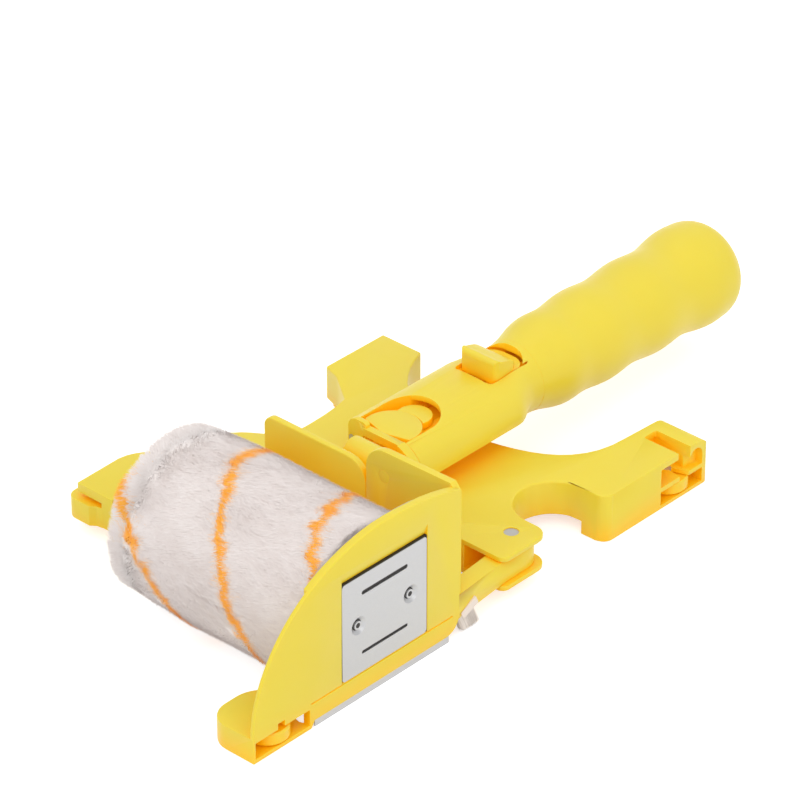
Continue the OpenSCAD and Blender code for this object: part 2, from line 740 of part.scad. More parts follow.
fork_x = bar_x1 + 0.1;
box_x1 = 171;                       // end of the arched front
neck_x = 185;                       // waist between the front and the grip
neck_r = 12.9;
grip_x = 199;                       // first bulge of the grip
grip_full_x = 207;
grip_z = handle_top - 10.3;
slot_r = disc_d / 2 + 0.7;
slot_x = swivel_x + 7.9;
channel_w = 8;
rod_z0 = handle_bottom + 3;
rod_z1 = rod_z0 + 4;
roof_t = 2.2;
thumb_x0 = 169.9;
channel_x1 = thumb_x0 + 24;
thumb_gap_front = 2.7;
thumb_z0 = handle_top - roof_t + 0.2;
thumb_tail_z = handle_top - 0.4;     // top of the slide's tail, which passes under the neck
cover_t = 2;
cover_x0 = 148;
cover_x1 = 166;
cover_half = channel_w / 2 + 4;
cover_screw_xy = [[cover_x0 + 2, swivel_y - cover_half + 2], [cover_x1 - 2, swivel_y + cover_half - 2]];
screw_length = 5.2;
handle_y0 = swivel_y - handle_w / 2;
handle_y1 = swivel_y + handle_w / 2;

// Arched section of the handle's front, a superellipse over a flat underside
function arch_points() = concat(
    [for (i = [0:arch_n]) let (
        a = 180 * i / arch_n,
        h = pow(1 - pow(abs(cos(a)), arch_power), 1 / arch_power)
    ) [swivel_y + cos(a) * handle_w / 2, handle_bottom + h * (handle_top - handle_bottom)]],
    [for (i = [1:base_n - 1]) [swivel_y - handle_w / 2 + handle_w * i / base_n, handle_bottom]]
);

module arch_section() {
    polygon(arch_points());
}

// Points round a circle of the grip, in step with those of the arch
function round_points(r) = let (low = atan2(grip_z - handle_bottom, handle_w / 2)) concat(
    [for (i = [0:arch_n]) let (a = -low + (180 + 2 * low) * i / arch_n)
        [swivel_y + r * cos(a), grip_z + r * sin(a)]],
    [for (i = [1:base_n - 1]) let (a = 180 + low + (180 - 2 * low) * i / base_n)
        [swivel_y + r * cos(a), grip_z + r * sin(a)]]
);

// One ring of the front's skin, part way from the arch to a circle
function skin_ring(x, r, s) = let (p = arch_points(), q = round_points(r))
    [for (i = [0:len(p) - 1]) [x, (1 - s) * p[i][0] + s * q[i][0], (1 - s) * p[i][1] + s * q[i][1]]];

// The arched front, which turns into a round neck and ends inside the grip
module handle_front() {
    n = arch_n + base_n;
    rows = 9;
    rings = concat(
        [skin_ring(fork_x, neck_r, 0), skin_ring(box_x1, neck_r, 0)],
        [for (k = [1:rows]) let (
            x = box_x1 + (round_x - box_x1) * k / rows,
            s = ease((x - box_x1) / (neck_x - box_x1))
        ) skin_ring(x, grip_r(x) - 0.03 * s, s)],
        [skin_ring(round_x + 2, neck_r - 2, 1)]
    );
    last = len(rings) - 1;
    points = [for (r = rings) for (q = r) q];
    polyhedron(points, concat(
        [[for (i = [0:n - 1]) (i + arch_n / 2) % n]],
        [[for (i = [n - 1:-1:0]) last * n + (i + arch_n / 2) % n]],
        [for (i = [0:n - 1]) let (j = (i + 1) % n) [i, n + i, n + j, j]],
        [for (k = [1:last - 1]) for (i = [0:n - 1]) let (j = (i + 1) % n)
            [k * n + i, (k + 1) * n + i, (k + 1) * n + j]],
        [for (k = [1:last - 1]) for (i = [0:n - 1]) let (j = (i + 1) % n)
            [k * n + i, (k + 1) * n + j, k * n + j]]
    ));
}

arch_n = 28;
base_n = 12;
round_x = neck_x + 4;               // where the section is a full circle

arch_power = 2.5;
bulb_x = handle_end - 8.5;
taper_d = 34.7;                     // what the taper alone gives at the knob
knob_length = 18.5;
end_r = pole_d / 2 + 3.1;           // flat ring round the pole socket

// Radius of the grip along its length
function ease(t) = let (u = min(1, max(0, t))) u * u * (3 - 2 * u);

function taper_r(x) = grip_d / 2 + (taper_d - grip_d) / 2 * (x - grip_x) / (bulb_x - grip_x)
    + grip_wave * cos(360 * (x - grip_x) / grip_pitch);

function grip_r(x) = let (
    swell = taper_r(x) + (bulb_d / 2 - taper_r(bulb_x)) * ease((x - bulb_x) / knob_length + 1),
    s = ease((x - neck_x) / (grip_full_x - neck_x))
) neck_r + s * (swell - neck_r);

function grip_profile(n = 44) = concat(
    [for (i = [0:n]) let (x = round_x + (bulb_x - round_x) * i / n) [grip_r(x), x]],
    [for (i = [1:10]) let (a = 90 * i / 10)
        [end_r + (bulb_d / 2 - end_r) * cos(a), bulb_x + (handle_end - bulb_x) * sin(a)]],
    [[0, handle_end]]
);

module grip_solid() {
    translate([0, swivel_y, grip_z]) rotate([0, 90, 0]) rotate_extrude($fn = 72)
        polygon(concat([[0, round_x]], grip_profile()));
}

socket_wall = 2.2;
socket_x0 = handle_end - pole_depth - 3;

module handle() place() color(yellow)
    difference() {
        union() {
            handle_front();
            grip_solid();
            bar_z(swivel_x, swivel_y, hub_d + 4, ring_z0, ring_z1);
        }
        // bearing on the hub, and room for the index disc and the pawl's head
        bar_z(swivel_x, swivel_y, hub_d + 2 * pin_play, 0, ring_z1 + 1);
        slab_z(ring_z1, handle_top + 1) {
            translate([slot_x, swivel_y]) circle(r = slot_r);
            rect(fork_x - 10, swivel_y - slot_r, slot_x, swivel_y + slot_r);
        }
        // channel of the pawl's rod, open below for its cover
        block([slot_x, swivel_y - channel_w / 2, rod_z0 - 0.4],
              [channel_x1, swivel_y + channel_w / 2, handle_top - roof_t]);
        block([slot_x, swivel_y - pawl_r - side_gap, ring_z1],
              [slot_x + slot_r + thumb_travel + 2, swivel_y + pawl_r + side_gap, handle_top - roof_t]);
        block([cover_x0, swivel_y - channel_w / 2, handle_bottom + cover_t],
              [cover_x1, swivel_y + channel_w / 2, rod_z0]);
        block([cover_x0 - 3, swivel_y - cover_half, handle_bottom - 1],
              [cover_x1 + 3, swivel_y + cover_half, handle_bottom + cover_t]);
        // opening of the thumb slide, and the pocket that its tail slides into
        slab_z(thumb_z0 - 0.4, handle_top + 8) thumb_outline(side_gap, thumb_gap_front, 0.9);
        slab_z(thumb_z0 - 0.4, thumb_tail_z + 0.4)
            thumb_outline(side_gap, thumb_gap_front, thumb_travel + side_gap);
        // pole socket
        bar_x(swivel_y, grip_z, pole_d + 2 * socket_wall, socket_x0, handle_end + 1);
        // cap and cover screws
        for (q = cap_screw_yz) bar_x(q[0], q[1], 1.8, fork_x - 1, fork_x + 9);
        // front left corner cut away
        slab_z(0, deep) polygon([[fork_x - 1, ear_y1 - 0.6], [fork_x + 8, handle_y1 + 1], [fork_x - 1, handle_y1 + 1]]);
        // small slit in the right wall behind the front cap
        block([fork_x + 1, handle_y0 - 1, handle_bottom + 9], [fork_x + 2, handle_y0 + 3.4, handle_bottom + 12.4]);
        for (q = cover_screw_xy) bar_z(q[0], q[1], 1.8, handle_bottom, handle_bottom + screw_length);
    }

ear_y0 = swivel_y + 4.7;
ear_y1 = swivel_y + 12.8;            // left end of the front cap
ear_r = 3.6;
ear_z1 = handle_top + 0.1;

module front_cap() place() color(yellow)
    difference() {
        union() {
            // bar in front of the index disc
            block([bar_x0, swivel_y - slot_r, disc_z0 + 0.6], [bar_x1, ear_y0 + 1, disc_z1 + 0.5]);
            // left ear
            slab_x(bar_x0 + 0.6, bar_x1) polygon(concat(
                arc(ear_y1 - ear_r, ear_z1 - ear_r, ear_r, 0, 90, 8),
                arc(ear_y0 + 1.6, ear_z1 - 1.6, 1.6, 90, 180, 4),
                [[ear_y0, ring_z0], [ear_y1, ring_z0]]
            ));
            // right end, which follows the handle's arch
            intersection() {
                slab_x(cap_x0, bar_x1) arch_section();
                block([cap_x0, handle_y0 - 1, 0], [bar_x1, swivel_y - slot_r + 0.6, deep]);
            }
        }
        bar_z(swivel_x, swivel_y, hub_d + 4.4, 0, disc_z0 + 0.2);
        cap_screw_bores();
    }

module cap_screw_bores() {
    for (q = cap_screw_yz) {
        bar_x(q[0], q[1], 1.8, cap_x0 - 20, fork_x + 9);
        bar_x(q[0], q[1], 2.8, cap_x0 - 20, bar_x1 - 1.2);
    }
}

module front_cap_screws() place() color(steel)
    for (q = cap_screw_yz) {
        bar_x(q[0], q[1], 1.8, bar_x1 - 1.4, fork_x + 8);
        bar_x(q[0], q[1], 2.6, bar_x1 - 2, bar_x1 - 1.2);
    }

module handle_cover() place() color(yellow)
    difference() {
        block([cover_x0 - 2.8, swivel_y - cover_half + 0.2, handle_bottom],
              [cover_x1 + 2.8, swivel_y + cover_half - 0.2, handle_bottom + cover_t]);
        for (q = cover_screw_xy) bar_z(q[0], q[1], 1.8, 0, deep);
    }

module cover_screws() place() color(steel)
    for (q = cover_screw_xy) {
        bar_z(q[0], q[1], 1.8, handle_bottom - hair, handle_bottom + screw_length);
        bar_z(q[0], q[1], 3, handle_bottom - 0.8, handle_bottom);
    }

module pole_socket() place() color(yellow)
    difference() {
        bar_x(swivel_y, grip_z, pole_d + 2 * socket_wall, socket_x0, handle_end - 1);
        bar_x(swivel_y, grip_z, pole_d, socket_x0 + 3, handle_end + 1);
    }

// ---- lock ----

pawl_x = slot_x + 3;
pawl_r = 6;
thumb_stem = 9;                     // far face of the stem under the slide
rod_x1 = thumb_x0 + thumb_stem;

module lock_pawl() place() color(yellow) {
    difference() {
        bar_z(pawl_x, swivel_y, 2 * pawl_r, ring_z1 + 0.3, disc_z1 - 0.4);
        bar_z(swivel_x, swivel_y, disc_d + 2 * side_gap, 0, deep);
    }
    block([swivel_x + disc_d / 2 - tooth_in + 0.3, swivel_y - tooth_w / 2, ring_z1 + 0.3],
          [pawl_x, swivel_y + tooth_w / 2, tooth_z1]);
    block([pawl_x - 1, swivel_y - 3.4, rod_z0], [rod_x1, swivel_y + 3.4, rod_z1]);
    block([pawl_x - 1, swivel_y - 3.4, rod_z1 - hair], [pawl_x + 4, swivel_y + 3.4, disc_z0 + 1]);
}

// Plan of the thumb slide, which narrows to a rounded tail, with gaps beside, before and behind it
module thumb_outline(side, front, rear) {
    half = thumb_w / 2 + side;
    x0 = thumb_x0 - front;
    x1 = thumb_x0 + thumb_length + rear;
    polygon(concat(
        arc(x0 + 2.2, swivel_y - half + 2.2, 2.2, 180, 270, 5),
        arc(x1 - 6.2, swivel_y - half + 5.8, 6.2, 290, 360, 6),
        arc(x1 - 6.2, swivel_y + half - 5.8, 6.2, 0, 70, 6),
        arc(x0 + 2.2, swivel_y + half - 2.2, 2.2, 90, 180, 5)
    ));
}

module thumb_slide() place() color(yellow) {
    intersection() {
        union() {
            slab_z(thumb_z0, thumb_tail_z) thumb_outline(0, 0, 0);
            slab_z(thumb_z0, handle_top + 8) thumb_outline(0, 0, -thumb_travel);
        }
        // side profile: raised front lip, dished top, low tail
        slab_y(swivel_y - thumb_w, swivel_y + thumb_w) polygon(concat(
            [[thumb_x0 - 1, thumb_z0 - 1], [thumb_x0, thumb_z0 - 1], [thumb_x0 + 0.5, handle_top + 4.6]],
            arc(thumb_x0 + 1.9, handle_top + 4.7, 1.4, 160, 60, 5),
            curve([thumb_x0 + 3, handle_top + 5.6], [thumb_x0 + 6.5, handle_top + 4.4],
                  [thumb_x0 + 9, handle_top + 4.6], [thumb_x0 + thumb_length - 3.2, thumb_tail_z], 8),
            [[thumb_x0 + thumb_length + 1, thumb_tail_z], [thumb_x0 + thumb_length + 1, thumb_z0 - 1]]
        ));
    }
    block([thumb_x0 + 3, swivel_y - 3.4, rod_z1], [thumb_x0 + 9, swivel_y + 3.4, thumb_z0 + hair]);
}

module pawl_spring() place() color(steel)
    difference() {
        bar_x(swivel_y, (rod_z0 + rod_z1) / 2, 3.6, rod_x1, channel_x1 - thumb_travel - 0.3);
        bar_x(swivel_y, (rod_z0 + rod_z1) / 2, 2.4, rod_x1 - 1, channel_x1);
    }

base_frame();
right_wheel();
left_wheel();
right_wheel_pin();
left_wheel_pin();
head_hinge_pin();
guard();
foot_wheel();
foot_wheel_pin();
edge_sheet();
clamp_plate();
clamp_screws();
corner_brush();
brush_clip();
roller_bracket();
bracket_rivet();
roller_axle();
roller_sleeve();
roller_core();
guard_end_cap();
bracket_end_cap();
tilt_block();
tilt_pin();
index_disc();
disc_screw();
handle();
front_cap();
front_cap_screws();
handle_cover();
cover_screws();
pole_socket();
lock_pawl();
thumb_slide();
pawl_spring();
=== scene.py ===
import json
import math

import bmesh
import bpy
import numpy as np
from mathutils import Matrix, Vector


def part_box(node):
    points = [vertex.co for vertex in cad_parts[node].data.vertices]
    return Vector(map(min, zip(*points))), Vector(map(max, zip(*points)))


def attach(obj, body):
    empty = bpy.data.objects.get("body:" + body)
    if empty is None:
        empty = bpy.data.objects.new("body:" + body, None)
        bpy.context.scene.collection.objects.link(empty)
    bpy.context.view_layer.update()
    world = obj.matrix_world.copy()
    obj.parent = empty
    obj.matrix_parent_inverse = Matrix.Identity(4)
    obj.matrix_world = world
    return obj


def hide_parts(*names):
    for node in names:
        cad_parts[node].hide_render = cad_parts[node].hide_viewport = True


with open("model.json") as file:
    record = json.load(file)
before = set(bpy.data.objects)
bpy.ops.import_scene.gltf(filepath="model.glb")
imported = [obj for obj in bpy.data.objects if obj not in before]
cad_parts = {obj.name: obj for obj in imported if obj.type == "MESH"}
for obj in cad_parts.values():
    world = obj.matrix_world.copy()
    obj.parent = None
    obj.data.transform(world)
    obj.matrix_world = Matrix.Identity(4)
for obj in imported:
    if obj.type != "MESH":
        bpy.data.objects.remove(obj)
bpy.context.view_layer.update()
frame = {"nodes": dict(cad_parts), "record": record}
nodes = frame["nodes"]
scene = bpy.context.scene
mm = 0.001
rng = np.random.default_rng(11)

# Lengths in metres
view = {
    "turn": -47.5,            # degrees round z
    "rise": 31.8,             # degrees above the floor
    "distance": 1.4242,
    "lens": 211.5,
    "shiftRight": 0.04424,    # aim point from the guard's nose, across the view
    "shiftUp": 0.11061,
    "sensor": 36,
    "farthest": 20,
}


def placeCamera():
    a, e = math.radians(view["turn"]), math.radians(view["rise"])
    back = Vector((math.sin(a) * math.cos(e), -math.cos(a) * math.cos(e), math.sin(e)))
    right = Vector((math.cos(a), math.sin(a), 0))
    up = back.cross(right)
    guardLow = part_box("guard")[0]
    nose = Vector((guardLow.x, guardLow.y, 0))
    aim = nose + right * view["shiftRight"] + up * view["shiftUp"]
    data = bpy.data.cameras.new("camera")
    data.lens, data.sensor_width, data.clip_end = view["lens"], view["sensor"], view["farthest"]
    camera = bpy.data.objects.new("camera", data)
    camera.location = aim + back * view["distance"]
    camera.rotation_euler = back.to_track_quat("Z", "Y").to_euler()
    scene.collection.objects.link(camera)
    scene.camera = camera


placeCamera()
print("camera placed")


# A colour written as 0 to 255 screen values, as the linear values a shader takes.
def linear(r, g, b):
    c = np.array([r, g, b]) / 255
    return tuple(np.where(c <= 0.04045, c / 12.92, ((c + 0.055) / 1.055) ** 2.4)) + (1,)


# One material, with short ways to add and join its nodes.
class Finish:
    def __init__(self, name):
        self.material = bpy.data.materials.new(name)
        self.material.use_nodes = True
        self.tree = self.material.node_tree
        self.shader = self.tree.nodes["Principled BSDF"]
        self.output = self.tree.nodes["Material Output"]
        self.coords = self.add("ShaderNodeTexCoord").outputs["Object"]

    def add(self, kind, **settings):
        node = self.tree.nodes.new(kind)
        for key, value in settings.items():
            setattr(node, key, value)
        return node

    def join(self, a, b):
        self.tree.links.new(a, b)

    def mapped(self, scale=(1, 1, 1), turn=(0, 0, 0)):
        node = self.add("ShaderNodeMapping")
        self.join(self.coords, node.inputs["Vector"])
        node.inputs["Scale"].default_value = scale
        node.inputs["Rotation"].default_value = turn
        return node.outputs["Vector"]

    def noise(self, scale, detail=2, roughness=0.5, vector=None):
        node = self.add("ShaderNodeTexNoise")
        self.join(vector or self.coords, node.inputs["Vector"])
        node.inputs["Scale"].default_value = scale
        node.inputs["Detail"].default_value = detail
        node.inputs["Roughness"].default_value = roughness
        return node.outputs["Fac"]

    def ramp(self, value, low, high, toLow=0.0, toHigh=1.0, smooth=False):
        node = self.add("ShaderNodeMapRange", interpolation_type="SMOOTHSTEP" if smooth else "LINEAR")
        self.join(value, node.inputs["Value"])
        for key, number in (("From Min", low), ("From Max", high), ("To Min", toLow), ("To Max", toHigh)):
            node.inputs[key].default_value = number
        return node.outputs["Result"]

    def mix(self, factor, a, b, blend="MIX"):
        node = self.add("ShaderNodeMix", data_type="RGBA", blend_type=blend)
        for socket, value in ((node.inputs[0], factor), (node.inputs[6], a), (node.inputs[7], b)):
            if isinstance(value, bpy.types.NodeSocket):
                self.join(value, socket)
            else:
                socket.default_value = value
        return node.outputs[2]

    def maths(self, operation, a, b):
        node = self.add("ShaderNodeMath", operation=operation)
        for socket, value in zip(node.inputs, (a, b)):
            if isinstance(value, bpy.types.NodeSocket):
                self.join(value, socket)
            else:
                socket.default_value = value
        return node.outputs[0]

    def bump(self, height, distance, strength=1.0, under=None):
        node = self.add("ShaderNodeBump")
        self.join(height, node.inputs["Height"])
        node.inputs["Distance"].default_value = distance
        node.inputs["Strength"].default_value = strength
        if under:
            self.join(under, node.inputs["Normal"])
        return node.outputs["Normal"]

    def openness(self, distance, samples=8):
        node = self.add("ShaderNodeAmbientOcclusion", samples=samples)
        node.inputs["Distance"].default_value = distance
        return node.outputs["AO"]


# Places and sizes in metres
light = {
    "world": 0.95,
    "key": 3.8,
    "fill": 3.5,
    "top": 1.6,
    "floorGlow": 0.60,
    "floorHalf": 3.0,
    "floorDrop": 0.0002,     # keeps the floor from meeting the wheels
    "floorTone": 0.74,
    # lamp: (place, width of its disc)
    "keyPlace": ((-0.9, -0.5, 1.2), 0.9),
    "fillPlace": ((-0.35, -1.5, 0.7), 1.0),
    "topPlace": ((0.2, 0.4, 1.5), 1.2),
    "target": (0, 0, 0.02),
}


def areaLight(key):
    location, size = light[key + "Place"]
    data = bpy.data.lights.new(key + "Light", "AREA")
    data.shape, data.size, data.energy = "DISK", size, light[key]
    lamp = bpy.data.objects.new(key + "Light", data)
    lamp.location = location
    lamp.rotation_euler = (Vector(location) - Vector(light["target"])).to_track_quat("Z", "Y").to_euler()
    scene.collection.objects.link(lamp)


# The floor glows for the camera, so that it reads white and still takes the object's shadow.
def buildFloor():
    half = light["floorHalf"]
    mesh = bpy.data.meshes.new("floor")
    corners = (-half, -half, 0), (half, -half, 0), (half, half, 0), (-half, half, 0)
    mesh.from_pydata(corners, [], [(0, 1, 2, 3)])
    floor = bpy.data.objects.new("floor", mesh)
    scene.collection.objects.link(floor)
    floor.location.z = -light["floorDrop"]

    paper = Finish("floorPaper")
    paper.shader.inputs["Base Color"].default_value = (light["floorTone"],) * 3 + (1,)
    paper.shader.inputs["Roughness"].default_value = 0.9
    paper.shader.inputs["Specular IOR Level"].default_value = 0.0
    glow = paper.add("ShaderNodeEmission")
    path = paper.add("ShaderNodeLightPath")
    seen = paper.maths("MAXIMUM", path.outputs["Is Camera Ray"], path.outputs["Is Glossy Ray"])
    seen = paper.maths("MAXIMUM", seen, path.outputs["Is Transmission Ray"])
    paper.join(paper.maths("MULTIPLY", seen, light["floorGlow"]), glow.inputs["Strength"])
    both = paper.add("ShaderNodeAddShader")
    paper.join(paper.shader.outputs[0], both.inputs[0])
    paper.join(glow.outputs[0], both.inputs[1])
    paper.join(both.outputs[0], paper.output.inputs["Surface"])
    floor.data.materials.append(paper.material)


# White to the camera, and a little dimmer as a light.
def buildSky():
    world = bpy.data.worlds.new("studio")
    scene.world = world
    world.use_nodes = True
    tree = world.node_tree
    background = tree.nodes["Background"]
    background.inputs["Color"].default_value = (1, 1, 1, 1)
    path = tree.nodes.new("ShaderNodeLightPath")
    most = tree.nodes.new("ShaderNodeMath")
    most.operation = "MAXIMUM"
    tree.links.new(path.outputs["Is Camera Ray"], most.inputs[0])
    tree.links.new(path.outputs["Is Transmission Ray"], most.inputs[1])
    ramp = tree.nodes.new("ShaderNodeMapRange")
    tree.links.new(most.outputs[0], ramp.inputs["Value"])
    ramp.inputs["To Min"].default_value = light["world"]
    ramp.inputs["To Max"].default_value = 1.0
    tree.links.new(ramp.outputs["Result"], background.inputs["Strength"])

    for key in ("key", "fill", "top"):
        areaLight(key)


buildFloor()
buildSky()
scene.view_settings.view_transform = "Standard"
print("stage built")

plastic = {
    "face": linear(223, 205, 64),
    "faceShade": 0.97,          # the darker clouds in it
    # painted bounce light: the orange that gaps and crevices are painted
    "paintedCreviceOrange": linear(255, 194, 0),
    "creviceReach": 0.016,
    "scuff": linear(250, 240, 190),
    "scuffStrength": 0.10,
    # painted glow of the plastic, a constant emission
    "glow": linear(255, 170, 0),
    "paintedGlowStrength": 0.05,
    "roughness": (0.32, 0.44),
    "rippleHeight": 0.00008,
    "grain": 1500,
    "grainHeight": 0.00003,
}


def yellowPlastic(name="yellowPlastic"):
    f = Finish(name)
    shader = f.shader
    cloud = f.ramp(f.noise(26, 3, 0.55), 0.3, 0.7)
    shade = tuple(plastic["faceShade"] * c for c in plastic["face"][:3]) + (1,)
    face = f.mix(cloud, shade, plastic["face"])
    # painted bounce light: where ambient occlusion finds walls close by, in gaps and crevices, the colour is
    # painted a deeper orange
    openness = f.ramp(f.openness(plastic["creviceReach"]), 0.2, 1.0, smooth=True)
    colour = f.mix(openness, plastic["paintedCreviceOrange"], face)
    scuff = f.noise(420, 5, 0.7, f.mapped((1, 3.5, 1.6), (0.2, 0.1, 0.5)))
    colour = f.mix(f.ramp(scuff, 0.66, 0.82, 0, plastic["scuffStrength"]), colour, plastic["scuff"])
    f.join(colour, shader.inputs["Base Color"])
    f.join(f.ramp(f.noise(90, 4, 0.6), 0.3, 0.7, *plastic["roughness"]), shader.inputs["Roughness"])
    ripple = f.bump(f.noise(55, 1, 0.4), plastic["rippleHeight"])
    grain = f.bump(f.noise(plastic["grain"], 2, 0.5), plastic["grainHeight"], 0.6, ripple)
    f.join(grain, shader.inputs["Normal"])
    # painted glow: a constant orange emission lifts the plastic's shade, standing in for light that comes
    # back out of the moulding's inside
    shader.inputs["Emission Color"].default_value = plastic["glow"]
    shader.inputs["Emission Strength"].default_value = plastic["paintedGlowStrength"]
    shader.inputs["IOR"].default_value = 1.47
    shader.inputs["Specular IOR Level"].default_value = 0.4
    shader.inputs["Subsurface Weight"].default_value = 0.18
    shader.inputs["Subsurface Radius"].default_value = (1.0, 0.6, 0.08)
    shader.inputs["Subsurface Scale"].default_value = 0.003
    return f.material


# Steel brushed along the direction in which its grain is scaled least.
def brushedSteel(name="brushedSteel", grain=(1, 1, 60), tone=(194, 194, 195)):
    f = Finish(name)
    shader = f.shader
    streak = f.noise(160, 4, 0.6, f.mapped(grain))
    colour = f.mix(f.ramp(streak, 0.35, 0.65), linear(*[t - 10 for t in tone]), linear(*tone))
    f.join(colour, shader.inputs["Base Color"])
    f.join(f.ramp(streak, 0.3, 0.7, 0.36, 0.50), shader.inputs["Roughness"])
    f.join(f.bump(streak, 0.00002, 0.5), shader.inputs["Normal"])
    shader.inputs["Metallic"].default_value = 0.85
    return f.material


# Painted shade: a near-black finish for pieces put where the slots, gaps and screw hollows fall into shade
def paintedShadeFinish(name="plateShadow"):
    f = Finish(name)
    f.join(f.mix(f.noise(300), linear(24, 22, 20), linear(38, 34, 30)), f.shader.inputs["Base Color"])
    f.shader.inputs["Roughness"].default_value = 0.6
    return f.material


def paleTube(name="paleTube"):
    f = Finish(name)
    f.join(f.mix(f.ramp(f.noise(120, 3), 0.35, 0.65), linear(214, 212, 208), linear(228, 227, 224)),
           f.shader.inputs["Base Color"])
    f.join(f.bump(f.noise(900), 0.00003, 0.5), f.shader.inputs["Normal"])
    f.shader.inputs["Roughness"].default_value = 0.55
    return f.material


yarnLooks = {
    "white": (linear(225, 218, 215), linear(234, 229, 227)),
    # whiteRoot is the darker white that low tone mixes towards: random tone, and painted shade at the roots
    # and the ground
    "whiteRoot": linear(214, 202, 197),
    "orange": (linear(230, 146, 22), linear(246, 186, 78)),
    # painted glow of the yarn, an emission of its own colour
    "glow": 0.16,
}


# White yarn, and orange yarn where the piece's tint attribute says so. Its tone attribute darkens the yarn:
# tone that differs at random from tuft to tuft, and painted shade at the fibres' roots, on the felted ground
# and inside the tube.
def pileYarn(name="pileYarn"):
    f = Finish(name)
    tint = f.add("ShaderNodeAttribute", attribute_name="tint").outputs["Fac"]
    tone = f.add("ShaderNodeAttribute", attribute_name="tone").outputs["Fac"]
    cloud = f.ramp(f.noise(70, 3, 0.6), 0.3, 0.7)
    white = f.mix(tone, yarnLooks["whiteRoot"], f.mix(cloud, *yarnLooks["white"]))
    orange = f.mix(tone, *yarnLooks["orange"])
    colour = f.mix(tint, white, orange)
    f.join(colour, f.shader.inputs["Base Color"])
    # painted glow: the yarn's colour is also emitted, standing in for the light that passes through the loose
    # yarn
    f.join(colour, f.shader.inputs["Emission Color"])
    f.shader.inputs["Emission Strength"].default_value = yarnLooks["glow"]
    f.shader.inputs["Roughness"].default_value = 0.85
    f.shader.inputs["Specular IOR Level"].default_value = 0.15
    f.shader.inputs["Sheen Weight"].default_value = 0.2
    f.shader.inputs["Sheen Roughness"].default_value = 0.6
    return f.material


def bristleNylon(name="bristleNylon"):
    f = Finish(name)
    tone = f.add("ShaderNodeAttribute", attribute_name="tone").outputs["Fac"]
    f.join(f.mix(tone, linear(232, 218, 206), linear(250, 240, 230)), f.shader.inputs["Base Color"])
    f.join(f.ramp(f.noise(800), 0.3, 0.7, 0.35, 0.5), f.shader.inputs["Roughness"])
    return f.material


yellow = yellowPlastic()
steel = brushedSteel()
plateSteel = brushedSteel("plateSteel", (8, 8, 110))
shadow = paintedShadeFinish()
pale = paleTube()
yarn = pileYarn()
nylon = bristleNylon()
print("finishes made")

softEdges = {
    # node: (body, edge radius in metres)
    "base_frame": ("frame", 0.0007),
    "guard": ("head", 0.0006),
    "roller_bracket": ("head", 0.0008),
    "tilt_block": ("tilt", 0.0006),
    "index_disc": ("tilt", 0.0005),
    "handle": ("grip", 0.0006),
    "front_cap": ("grip", 0.0005),
    "lock_pawl": ("slide", 0.0006),
    "thumb_slide": ("slide", 0.0016),
    "handle_cover": ("grip", 0.0004),
    "bracket_end_cap": ("roller", 0.0004),
    "bracket_rivet": ("head", 0.0003),
}
bevel = {
    "angle": 28,          # degrees that two faces turn before their edge is rounded
    "share": 0.7,         # of the width that an edge can give
    "least": 0.00005,     # smaller roundings are left out
    "segments": 3,
    "spread": 6,          # neighbours that a narrow place slims down
    "growth": 1.25,       # from one neighbour to the next
    "manyCorners": 6,
    "weld": 2e-6,
    "flat": 0.4,          # degrees between faces that are joined into one
}


# One value of every vertex, edge, face or corner of a mesh, as an array.
def readAll(things, key, kind=np.float32, wide=1):
    out = np.empty(len(things) * wide, kind)
    things.foreach_get(key, out)
    return out.reshape(-1, wide) if wide > 1 else out


